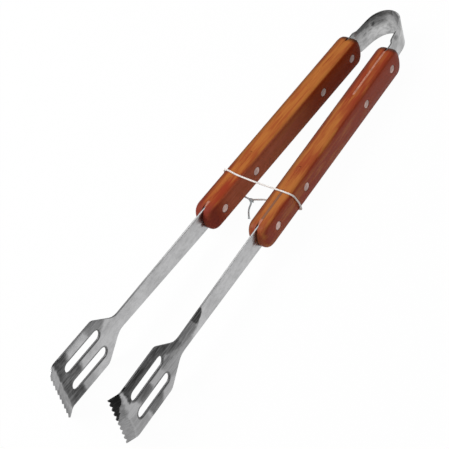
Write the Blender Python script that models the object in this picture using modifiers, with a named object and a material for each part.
"""Barbecue tongs: a spring bow, two wooden handles and two slotted blades.

Each arm is a wooden handle that is sawn open at both ends. A leg of the bow sits in the upper
slot and the tang of a blade in the lower one, and two-part rivets through handle and steel hold
both. A string is tied round the handles and keeps the bow a little closed.

Lengths are in metres. X runs across the arms, Y along the tongs towards the bow and Z up. The
tongs lie as on a table, on one edge of each blade and of the bow, with the origin in the middle
of their footprint.
"""

import math

import bmesh
import bpy
from mathutils import Matrix, Vector
from mathutils.geometry import interpolate_bezier

# Fits
CLEARANCE = 0.0003
OVERRUN = 0.004

# Both arms
ARM_LEAN = math.radians(1.78)
HANDLE_SPREAD = 0.0365

# Wooden handles
HANDLE_LENGTH = 0.2021
HANDLE_UPPER_WIDTH = 0.0232
HANDLE_LOWER_WIDTH = 0.0212
HANDLE_THICKNESS = 0.0162
HANDLE_SIDE_EDGE = 0.0020
HANDLE_END_EDGE = 0.0050
HANDLE_EDGE_STEPS = 4
UPPER_END_CROWN = 0.0050
LOWER_END_CROWN = 0.0050
END_DEPTH = 0.0080
END_FULLNESS_share = 0.66
END_STEPS = 8

# Spring bow. Its heights are counted from the handles' upper ends.
BOW_THICKNESS = 0.0012
BOW_LEG_WIDTH = 0.0210
BOW_CROWN_WIDTH = 0.0246
BOW_LEG_DEPTH = 0.060
BOW_STRAIGHT = 0.0002
BOW_EASE = 0.0028
BOW_NECK_SPAN = 0.0316
BOW_NECK_HEIGHT = 0.011
BOW_SPAN = 0.0286
BOW_LEAN = math.radians(8.0)
BOW_ARCH = 0.0175
BOW_HEIGHT = 0.040
BOW_WIDEST_HEIGHT = 0.030
BOW_STEPS = 10
QUARTER_ARC_share = 0.55

# Where the bow bends, as seen from the middle of the tongs and from the handles' upper ends
FLEX_SPREAD = 0.0248
FLEX_HEIGHT = 0.023

# Blades
BLADE_THICKNESS = 0.0015
TANG_LENGTH = 0.064
TANG_WIDTH = 0.0187
TANG_CORNER = 0.002
NECK_WIDTH = 0.0141
NECK_DROP = 0.1135
NECK_CORNER = 0.012
BLADE_WIDTH = 0.048
SHOULDER_DROP = 0.1325
SHOULDER_CORNER = 0.006
CREASE_DROP = 0.1744
FLAP_LENGTH = 0.0115
FLAP_BEND = math.radians(27.0)
FLAP_BEND_LENGTH = 0.004
FLAP_BEND_STEPS = 6
NOTCH_COUNT = 9
NOTCH_DEPTH = 0.0019
SLOT_WIDTH = 0.0093
SLOT_LENGTH = 0.0392
SLOT_SPACING = 0.0193
SLOT_CORNER = 0.0043
SLOT_DROP = 0.1304

# Rivets, each a socket half and a pin half
UPPER_RIVET_INSET = 0.010
LEG_RIVET_INSET = 0.0079
TANG_RIVET_INSET = 0.0081
LOWER_RIVET_INSET = 0.0138
RIVET_HEAD_RADIUS = 0.0033
RIVET_HEAD_THICKNESS = 0.0012
RIVET_HEAD_CROWN = 0.0002
RIVET_BODY_RADIUS = 0.0020
RIVET_WALL = 0.0007
RIVET_OVERLAP = 0.009
ROUND_STEPS = 24

# String. Its points are measured from the middle of the handles' upper ends.
STRING_DIAMETER = 0.0015
STRING_STEP = 0.0024
STRING_LOOP = [
    (-0.0326, -0.1621, 0.0087), (-0.0317, -0.1622, 0.0109), (-0.0295, -0.1624, 0.0118),
    (-0.0233, -0.1633, 0.0118), (-0.0173, -0.1642, 0.0118), (0.0000, -0.1652, 0.0118),
    (0.0173, -0.1655, 0.0118), (0.0234, -0.1656, 0.0118), (0.0295, -0.1658, 0.0118),
    (0.0317, -0.1655, 0.0109), (0.0326, -0.1645, 0.0087), (0.0326, -0.1622, 0.0026),
    (0.0326, -0.1606, -0.0030), (0.0326, -0.1598, -0.0087), (0.0317, -0.1594, -0.0109),
    (0.0295, -0.1592, -0.0118), (0.0232, -0.1590, -0.0118), (0.0171, -0.1591, -0.0118),
    (0.0015, -0.1605, -0.0118), (-0.0055, -0.1628, -0.0118), (-0.0106, -0.1647, -0.0118),
    (-0.0173, -0.1643, -0.0118), (-0.0233, -0.1633, -0.0118), (-0.0295, -0.1625, -0.0118),
    (-0.0317, -0.1623, -0.0109), (-0.0326, -0.1622, -0.0087), (-0.0326, -0.1620, -0.0030),
    (-0.0326, -0.1620, 0.0030),
]
STRING_TAIL = [
    (-0.0106, -0.1653, -0.0144), (-0.0110, -0.1666, -0.0153), (-0.0112, -0.1683, -0.0166),
    (-0.0107, -0.1706, -0.0177), (-0.0093, -0.1732, -0.0180), (-0.0077, -0.1755, -0.0181),
    (-0.0060, -0.1778, -0.0182),
]
KNOT_PLACE = (-0.0106, -0.1649, -0.0126)
KNOT_SIZE = (0.0034, 0.0032, 0.0030)

# Sizes that follow from these
TANG_START = HANDLE_LENGTH - TANG_LENGTH
SHANK_END = HANDLE_LENGTH + CREASE_DROP
HALF_WIDTH = max(HANDLE_UPPER_WIDTH, HANDLE_LOWER_WIDTH) / 2
HALF_THICKNESS = HANDLE_THICKNESS / 2
RIVET_BORE = RIVET_BODY_RADIUS - RIVET_WALL
LYING_SPAN = BOW_HEIGHT + BOW_THICKNESS / 2 + (HANDLE_LENGTH + SHOULDER_DROP) * math.cos(ARM_LEAN)
LYING_TILT = math.atan2((BLADE_WIDTH - BOW_CROWN_WIDTH) / 2, LYING_SPAN)
RIVET_TIMES = (
    ("1", UPPER_RIVET_INSET),
    ("2", BOW_LEG_DEPTH - LEG_RIVET_INSET),
    ("3", TANG_START + TANG_RIVET_INSET),
    ("4", HANDLE_LENGTH - LOWER_RIVET_INSET),
)


def clear_scene():
    for obj in list(bpy.data.objects):
        bpy.data.objects.remove(obj, do_unlink=True)


def new_collection(name):
    collection = bpy.data.collections.new(name)
    bpy.context.scene.collection.children.link(collection)
    return collection


def new_material(name, color, roughness, metallic):
    material = bpy.data.materials.new(name)
    material.use_nodes = True
    shader = material.node_tree.nodes["Principled BSDF"]
    shader.inputs["Base Color"].default_value = (*color, 1.0)
    shader.inputs["Roughness"].default_value = roughness
    shader.inputs["Metallic"].default_value = metallic
    return material


def new_object(name, data, parent, material=None):
    obj = bpy.data.objects.new(name, data)
    if material is None:
        obj.hide_render = True
        obj.display_type = "WIRE"
        CUTTERS.objects.link(obj)
    else:
        obj.data.materials.append(material)
        PARTS.objects.link(obj)
    obj.parent = parent
    return obj


def new_empty(name, location, parent=None):
    empty = bpy.data.objects.new(name, None)
    empty.location = location
    empty.parent = parent
    PARTS.objects.link(empty)
    return empty


def evaluated_mesh(obj):
    """The mesh of an object as it shows, with coinciding points merged, the object removed."""
    bpy.context.view_layer.update()
    graph = bpy.context.evaluated_depsgraph_get()
    mesh = bpy.data.meshes.new_from_object(obj.evaluated_get(graph))
    bpy.data.objects.remove(obj, do_unlink=True)
    shape = bmesh.new()
    shape.from_mesh(mesh)
    bmesh.ops.remove_doubles(shape, verts=shape.verts, dist=CLEARANCE / 100)
    bmesh.ops.recalc_face_normals(shape, faces=shape.faces)
    shape.to_mesh(mesh)
    shape.free()
    return mesh


def cut(obj, cutter, operation="DIFFERENCE"):
    modifier = obj.modifiers.new(cutter.name, "BOOLEAN")
    modifier.operation = operation
    modifier.object = cutter


def rounded_outline(corners, arc_step=math.radians(15)):
    """The closed outline through corners given as (along, across, radius), each one an arc."""
    outline = []
    for index, (along, across, radius) in enumerate(corners):
        here = Vector((along, across))
        back = Vector(corners[index - 1][:2]) - here
        ahead = Vector(corners[(index + 1) % len(corners)][:2]) - here
        turn = math.pi - back.angle(ahead)
        if radius == 0 or turn < math.radians(1):
            outline.append(here)
            continue
        inset = radius * math.tan(turn / 2)
        centre = here + (back.normalized() + ahead.normalized()).normalized() * math.hypot(radius, inset)
        start = here + back.normalized() * inset - centre
        steps = max(2, round(turn / arc_step))
        sense = math.copysign(1.0, ahead.cross(back))
        for step in range(steps + 1):
            outline.append(centre + Matrix.Rotation(sense * turn * step / steps, 2) @ start)
    return outline


def plate_mesh(name, outline, thickness):
    """A flat plate in the YZ plane, from an outline of (along, across) points."""
    curve = bpy.data.curves.new(name, "CURVE")
    curve.dimensions = "2D"
    curve.fill_mode = "BOTH"
    curve.extrude = thickness / 2
    spline = curve.splines.new("POLY")
    spline.points.add(len(outline) - 1)
    for point, (along, across) in zip(spline.points, outline):
        point.co = (along, across, 0, 1)
    spline.use_cyclic_u = True
    mesh = evaluated_mesh(new_object(name, curve, None))
    shape = bmesh.new()
    shape.from_mesh(mesh)
    bmesh.ops.dissolve_limit(shape, angle_limit=math.radians(0.1), verts=shape.verts, edges=shape.edges)
    shape.to_mesh(mesh)
    shape.free()
    mesh.transform(Matrix(((0, 0, 1, 0), (1, 0, 0, 0), (0, 1, 0, 0), (0, 0, 0, 1))))
    return mesh


def box_mesh(name, low, high):
    shape = bmesh.new()
    bmesh.ops.create_cube(shape, size=1)
    size = Vector(high) - Vector(low)
    bmesh.ops.scale(shape, vec=size, verts=shape.verts)
    bmesh.ops.translate(shape, vec=Vector(low) + size / 2, verts=shape.verts)
    mesh = bpy.data.meshes.new(name)
    shape.to_mesh(mesh)
    shape.free()
    return mesh


def turned_object(name, profile, parent, place, material=None):
    """A turned piece along X, from (radius, height) points that run down its outer side."""
    mesh = bpy.data.meshes.new(name)
    shape = bmesh.new()
    points = [shape.verts.new((radius, 0, height)) for radius, height in profile]
    for above, below in zip(points, points[1:]):
        shape.edges.new((above, below))
    shape.to_mesh(mesh)
    shape.free()
    obj = new_object(name, mesh, parent, material)
    obj.location = place
    obj.rotation_euler = (0, math.pi / 2, 0)
    screw = obj.modifiers.new("turn", "SCREW")
    screw.steps = screw.render_steps = ROUND_STEPS
    screw.use_merge_vertices = True
    screw.merge_threshold = CLEARANCE / 100
    screw.use_smooth_shade = False
    return obj


def arm_frame(side):
    """The empty on an arm's hinge axis. Its X points to the other arm and its Y to the bow."""
    hinge = new_empty(f"{side}_hinge", (0, 0, 0), TONGS)
    lean = Matrix.Rotation(-ARM_LEAN, 4, "Z")
    place = Matrix.Translation((-FLEX_SPREAD / 2, FLEX_HEIGHT, 0))
    hinge.matrix_local = place @ lean
    if side == "right":
        hinge.matrix_local = Matrix.Rotation(math.pi, 4, "Y") @ place @ lean
    return hinge


def arm_origin():
    """The middle of a handle's upper end, seen from its arm's hinge axis."""
    across = (FLEX_SPREAD - HANDLE_SPREAD) / 2
    down = -FLEX_HEIGHT
    cosine, sine = math.cos(ARM_LEAN), math.sin(ARM_LEAN)
    return Vector((across * cosine - down * sine, across * sine + down * cosine, 0))


def on_arm(drop, across=0):
    """A point on an arm's middle line, this far below the handle's upper end."""
    return arm_origin() + Vector((0, -drop, across))


def domed_end(level, sense, crown, width):
    """Points of a round end that reaches by crown beyond a level, from one edge to the other."""
    summit = Vector((level + sense * crown, 0))
    edge = Vector((summit.x - sense * END_DEPTH, width / 2))
    along = Vector((sense * END_DEPTH * END_FULLNESS_share, 0))
    across = Vector((0, width / 2 * END_FULLNESS_share))
    half = interpolate_bezier(edge, edge + along, summit + across, summit, END_STEPS)
    return half + [Vector((point.x, -point.y)) for point in reversed(half[:-1])]


def round_edges(handle):
    """Rounds all edges of a handle, more so at its ends than along its sides."""
    side_share = HANDLE_SIDE_EDGE / HANDLE_END_EDGE
    mesh = handle.data
    weights = mesh.attributes.new("bevel_weight_edge", "FLOAT", "EDGE")
    for edge in mesh.edges:
        start, end = (mesh.vertices[index].co for index in edge.vertices)
        course = (end - start).normalized()
        on_face = abs(course.x) < abs(course.y) + abs(course.z)
        endwards = abs(course.z) * on_face
        weights.data[edge.index].value = on_face * (side_share + (1 - side_share) * endwards)
    bevel = handle.modifiers.new("rounded edges", "BEVEL")
    bevel.width = HANDLE_END_EDGE
    bevel.segments = HANDLE_EDGE_STEPS
    bevel.limit_method = "WEIGHT"


def add_handle(side, hinge):
    top = on_arm(0).y
    bottom = on_arm(HANDLE_LENGTH).y
    outline = domed_end(top, 1, UPPER_END_CROWN, HANDLE_UPPER_WIDTH)
    outline += domed_end(bottom, -1, LOWER_END_CROWN, HANDLE_LOWER_WIDTH)[::-1]
    mesh = plate_mesh(f"{side}_handle", outline, HANDLE_THICKNESS)
    mesh.transform(Matrix.Translation((on_arm(0).x, 0, 0)))
    handle = new_object(f"{side}_handle", mesh, hinge, WOOD)
    round_edges(handle)
    for end, low, high, steel in (
        ("upper", on_arm(BOW_LEG_DEPTH + CLEARANCE).y, top + UPPER_END_CROWN + OVERRUN, BOW_THICKNESS),
        ("lower", bottom - LOWER_END_CROWN - OVERRUN, on_arm(TANG_START - CLEARANCE).y, BLADE_THICKNESS),
    ):
        half_gap = steel / 2 + CLEARANCE
        corner = Vector((on_arm(0).x - half_gap, low, -HALF_WIDTH - OVERRUN))
        opposite = Vector((on_arm(0).x + half_gap, high, HALF_WIDTH + OVERRUN))
        cutter = box_mesh(f"{side}_{end}_slot", corner, opposite)
        cut(handle, new_object(f"{side}_{end}_slot", cutter, hinge))
    for number, drop in RIVET_TIMES:
        cut(handle, add_rivet_bore(side, number, drop, hinge))


def add_rivet_bore(side, number, drop, hinge):
    """The cutter of a rivet's bore with the two recesses for its heads."""
    outside = HALF_THICKNESS + OVERRUN
    seat = HALF_THICKNESS - RIVET_HEAD_THICKNESS - CLEARANCE
    wide = RIVET_HEAD_RADIUS + CLEARANCE
    narrow = RIVET_BODY_RADIUS + CLEARANCE
    profile = [
        (0, outside), (wide, outside), (wide, seat), (narrow, seat),
        (narrow, -seat), (wide, -seat), (wide, -outside), (0, -outside),
    ]
    return turned_object(f"{side}_bore_{number}", profile, hinge, on_arm(drop))


def add_plain_bore(name, drop, hinge):
    reach = BLADE_THICKNESS + OVERRUN
    radius = RIVET_BODY_RADIUS + CLEARANCE
    profile = [(0, reach), (radius, reach), (radius, -reach), (0, -reach)]
    return turned_object(name, profile, hinge, on_arm(drop))


def add_rivet(side, number, drop, hinge):
    """The two halves of a rivet. The pin half sticks in the bore of the socket half."""
    head = RIVET_HEAD_RADIUS
    rim = HALF_THICKNESS - RIVET_HEAD_CROWN
    seat = HALF_THICKNESS - RIVET_HEAD_THICKNESS
    bore_floor = CLEARANCE - seat + RIVET_OVERLAP + CLEARANCE
    pin = RIVET_BORE - CLEARANCE
    socket = [
        (0, HALF_THICKNESS), (head / 2, HALF_THICKNESS - RIVET_HEAD_CROWN / 4), (head, rim),
        (head, seat), (RIVET_BODY_RADIUS, seat), (RIVET_BODY_RADIUS, CLEARANCE - seat),
        (RIVET_BORE, CLEARANCE - seat), (RIVET_BORE, bore_floor), (0, bore_floor),
    ]
    pin_half = [
        (0, bore_floor - CLEARANCE), (pin, bore_floor - CLEARANCE), (pin, -seat), (head, -seat),
        (head, -rim), (head / 2, RIVET_HEAD_CROWN / 4 - HALF_THICKNESS), (0, -HALF_THICKNESS),
    ]
    for half, profile in (("socket", socket), ("pin", pin_half)):
        turned_object(f"{side}_rivet_{number}_{half}", profile, hinge, on_arm(drop), RIVET_STEEL)


def blade_outline():
    """The flat blank of a blade, as (below the handle's upper end, across) points."""
    half_tang, half_neck, half_blade = TANG_WIDTH / 2, NECK_WIDTH / 2, BLADE_WIDTH / 2
    tip = SHANK_END + FLAP_LENGTH
    one_side = [
        (TANG_START, half_tang, TANG_CORNER),
        (HANDLE_LENGTH, half_tang, 0),
        (HANDLE_LENGTH + NECK_DROP, half_neck, NECK_CORNER),
        (HANDLE_LENGTH + SHOULDER_DROP, half_blade, SHOULDER_CORNER),
        (tip, half_blade, 0),
    ]
    pitch = BLADE_WIDTH / NOTCH_COUNT
    teeth = []
    for notch in range(NOTCH_COUNT):
        teeth.append((tip - NOTCH_DEPTH, half_blade - pitch * (notch + 0.5), 0))
        if notch < NOTCH_COUNT - 1:
            teeth.append((tip, half_blade - pitch * (notch + 1), 0))
    other_side = [(along, -across, radius) for along, across, radius in reversed(one_side)]
    return rounded_outline(one_side + teeth + other_side)


def bend_flap(mesh):
    """Bends the part of a flat blade below its crease towards the other arm."""
    shape = bmesh.new()
    shape.from_mesh(mesh)
    crease = -SHANK_END
    for step in range(FLAP_BEND_STEPS + 1):
        line = crease - FLAP_BEND_LENGTH * step / FLAP_BEND_STEPS
        everything = shape.verts[:] + shape.edges[:] + shape.faces[:]
        bmesh.ops.bisect_plane(
            shape, geom=everything, dist=CLEARANCE / 100, plane_co=(0, line, 0), plane_no=(0, 1, 0)
        )
    radius = FLAP_BEND_LENGTH / FLAP_BEND
    for point in shape.verts:
        beyond = crease - point.co.y
        if beyond > 0:
            angle = FLAP_BEND * min(1.0, beyond / FLAP_BEND_LENGTH)
            straight = max(0.0, beyond - FLAP_BEND_LENGTH)
            inward = radius * (1 - math.cos(angle)) + straight * math.sin(angle)
            down = radius * math.sin(angle) + straight * math.cos(angle)
            offset = point.co.x
            point.co.x = inward + offset * math.cos(angle)
            point.co.y = crease - down + offset * math.sin(angle)
    shape.to_mesh(mesh)
    shape.free()


def add_blade(side, hinge):
    outline = [(-drop, across) for drop, across in blade_outline()]
    mesh = plate_mesh(f"{side}_blade", outline, BLADE_THICKNESS)
    bend_flap(mesh)
    mesh.transform(Matrix.Translation(on_arm(0)))
    blade = new_object(f"{side}_blade", mesh, hinge, BLADE_STEEL)
    for number, drop in RIVET_TIMES[2:]:
        cut(blade, add_plain_bore(f"{side}_tang_hole_{number}", drop, hinge))
    first, last = HANDLE_LENGTH + SLOT_DROP, HANDLE_LENGTH + SLOT_DROP + SLOT_LENGTH
    for row, middle in (("upper", SLOT_SPACING / 2), ("lower", -SLOT_SPACING / 2)):
        half = SLOT_WIDTH / 2
        corners = [
            (-first, middle + half, SLOT_CORNER), (-last, middle + half, SLOT_CORNER),
            (-last, middle - half, SLOT_CORNER), (-first, middle - half, SLOT_CORNER),
        ]
        cutter = plate_mesh(f"{side}_{row}_drain", rounded_outline(corners), BLADE_THICKNESS + OVERRUN)
        cutter.transform(Matrix.Translation(on_arm(0)))
        cut(blade, new_object(f"{side}_{row}_drain", cutter, hinge))


def bow_points():
    """Half of the bow's middle line, as (point, handle back, handle ahead) from leg to crown."""
    along = Vector((math.sin(ARM_LEAN), math.cos(ARM_LEAN), 0))
    taper = Vector((math.sin(BOW_LEAN), math.cos(BOW_LEAN), 0))
    nose = Vector((-HANDLE_SPREAD / 2, 0, 0))
    leg_end = nose - along * BOW_LEG_DEPTH
    leaving = nose + along * (UPPER_END_CROWN + BOW_STRAIGHT)
    neck = Vector((-BOW_NECK_SPAN / 2, BOW_NECK_HEIGHT, 0))
    side = Vector((-BOW_SPAN / 2, BOW_HEIGHT - BOW_ARCH, 0))
    crown = Vector((0, BOW_HEIGHT, 0))
    leg_third = (leaving - leg_end) / 3
    side_third = taper * (side - neck).length / 3
    across = Vector((BOW_SPAN / 2 * QUARTER_ARC_share, 0, 0))
    return [
        (leg_end, leg_end - leg_third, leg_end + leg_third),
        (leaving, leaving - leg_third, leaving + along * BOW_EASE),
        (neck, neck - taper * BOW_EASE, neck + side_third),
        (side, side - side_third, side + taper * BOW_ARCH * QUARTER_ARC_share),
        (crown, crown - across, crown + across),
    ]


def mirrored(point):
    return Vector((-point.x, point.y, point.z))


def bow_half_width(height):
    """Half of the strip's width at a height above the handles. It widens towards the crown."""
    share = min(1.0, max(0.0, height / BOW_WIDEST_HEIGHT))
    return (BOW_LEG_WIDTH + (BOW_CROWN_WIDTH - BOW_LEG_WIDTH) * share) / 2


def add_bow(hinges):
    left = bow_points()
    right = [(mirrored(at), mirrored(ahead), mirrored(back)) for at, back, ahead in reversed(left[:-1])]
    curve = bpy.data.curves.new("spring_bow", "CURVE")
    curve.dimensions = "3D"
    curve.extrude = BOW_LEG_WIDTH / 2
    curve.resolution_u = BOW_STEPS
    spline = curve.splines.new("BEZIER")
    spline.bezier_points.add(len(left + right) - 1)
    for point, (at, back, ahead) in zip(spline.bezier_points, left + right):
        point.co, point.handle_left, point.handle_right = at, back, ahead
    mesh = evaluated_mesh(new_object("spring_bow", curve, None))
    for point in mesh.vertices:
        point.co.z = math.copysign(bow_half_width(point.co.y), point.co.z)
    bow = new_object("spring_bow", mesh, TONGS, SPRING_STEEL)
    shell = bow.modifiers.new("strip", "SOLIDIFY")
    shell.thickness = BOW_THICKNESS
    shell.offset = 0
    shell.use_even_offset = True
    for side, hinge in hinges.items():
        for number, drop in RIVET_TIMES[:2]:
            cut(bow, add_plain_bore(f"{side}_leg_hole_{number}", drop, hinge))


def smooth_route(points, closed):
    """Evenly spaced points on a smooth curve through the route's own points."""
    route = [Vector(point) for point in points]
    count = len(route)
    fine = []
    for index in range(count if closed else count - 1):
        if closed:
            corners = [route[(index + shift) % count] for shift in (-1, 0, 1, 2)]
        else:
            corners = [route[min(max(index + shift, 0), count - 1)] for shift in (-1, 0, 1, 2)]
        before, start, end, after = corners
        for step in range(20):
            share = step / 20
            rise = (end - before) * share + (2 * before - 5 * start + 4 * end - after) * share**2
            fine.append(start + (rise + (3 * start - before - 3 * end + after) * share**3) / 2)
    fine.append(route[0] if closed else route[-1])
    reach = [0]
    for start, end in zip(fine, fine[1:]):
        reach.append(reach[-1] + (end - start).length)
    pieces = round(reach[-1] / STRING_STEP)
    even, at = [], 0
    for piece in range(pieces if closed else pieces + 1):
        wanted = reach[-1] * piece / pieces
        while at < len(fine) - 2 and reach[at + 1] < wanted:
            at += 1
        share = (wanted - reach[at]) / (reach[at + 1] - reach[at])
        even.append(fine[at].lerp(fine[at + 1], share))
    return even


def string_curve(name, points, closed):
    curve = bpy.data.curves.new(name, "CURVE")
    curve.dimensions = "3D"
    curve.bevel_depth = STRING_DIAMETER / 2
    curve.bevel_resolution = 2
    curve.use_fill_caps = not closed
    spline = curve.splines.new("POLY")
    route = smooth_route(points, closed)
    spline.points.add(len(route) - 1)
    for point, place in zip(spline.points, route):
        point.co = (*place, 1)
    spline.use_cyclic_u = closed
    return curve


def add_string():
    loop = evaluated_mesh(new_object("string_loop", string_curve("string_loop", STRING_LOOP, True), None))
    tie = new_object("string_tie", loop, TONGS, STRING)
    knot = bpy.data.meshes.new("knot")
    shape = bmesh.new()
    bmesh.ops.create_icosphere(shape, subdivisions=3, radius=0.5)
    bmesh.ops.scale(shape, vec=KNOT_SIZE, verts=shape.verts)
    bmesh.ops.translate(shape, vec=KNOT_PLACE, verts=shape.verts)
    shape.to_mesh(knot)
    shape.free()
    cut(tie, new_object("knot", knot, TONGS), "UNION")
    tail = evaluated_mesh(new_object("tail", string_curve("string_tail", STRING_TAIL, False), None))
    new_object("string_tail", tail, TONGS, STRING)


def lay_down():
    """Tips the tongs onto the floor's plane and moves them so that they lie round the origin."""
    TONGS.rotation_euler.x = -LYING_TILT
    bpy.context.view_layer.update()
    graph = bpy.context.evaluated_depsgraph_get()
    points = []
    for obj in PARTS.objects:
        if obj.type == "MESH":
            shape = obj.evaluated_get(graph)
            points += [shape.matrix_world @ vertex.co for vertex in shape.data.vertices]
    low = Vector([min(point[axis] for point in points) for axis in range(3)])
    high = Vector([max(point[axis] for point in points) for axis in range(3)])
    TONGS.location = (-(low.x + high.x) / 2, -(low.y + high.y) / 2, -low.z)


def shade_round_pieces():
    for obj in PARTS.objects:
        if obj.type == "MESH":
            obj.data.shade_smooth()
            obj.data.set_sharp_from_angle(angle=math.radians(35))


clear_scene()
PARTS = new_collection("barbecue_tongs")
CUTTERS = new_collection("cutters")
WOOD = new_material("lacquered wood", (0.30, 0.09, 0.03), 0.35, 0.0)
SPRING_STEEL = new_material("spring steel", (0.45, 0.45, 0.46), 0.30, 1.0)
BLADE_STEEL = new_material("blade steel", (0.48, 0.48, 0.48), 0.28, 1.0)
RIVET_STEEL = new_material("rivet steel", (0.62, 0.55, 0.55), 0.30, 1.0)
STRING = new_material("string", (0.85, 0.80, 0.76), 0.80, 0.0)
TONGS = new_empty("tongs", (0, 0, 0))
HINGES = {side: arm_frame(side) for side in ("left", "right")}
for side, hinge in HINGES.items():
    add_handle(side, hinge)
    add_blade(side, hinge)
    for number, drop in RIVET_TIMES:
        add_rivet(side, number, drop, hinge)
add_bow(HINGES)
add_string()
shade_round_pieces()
lay_down()
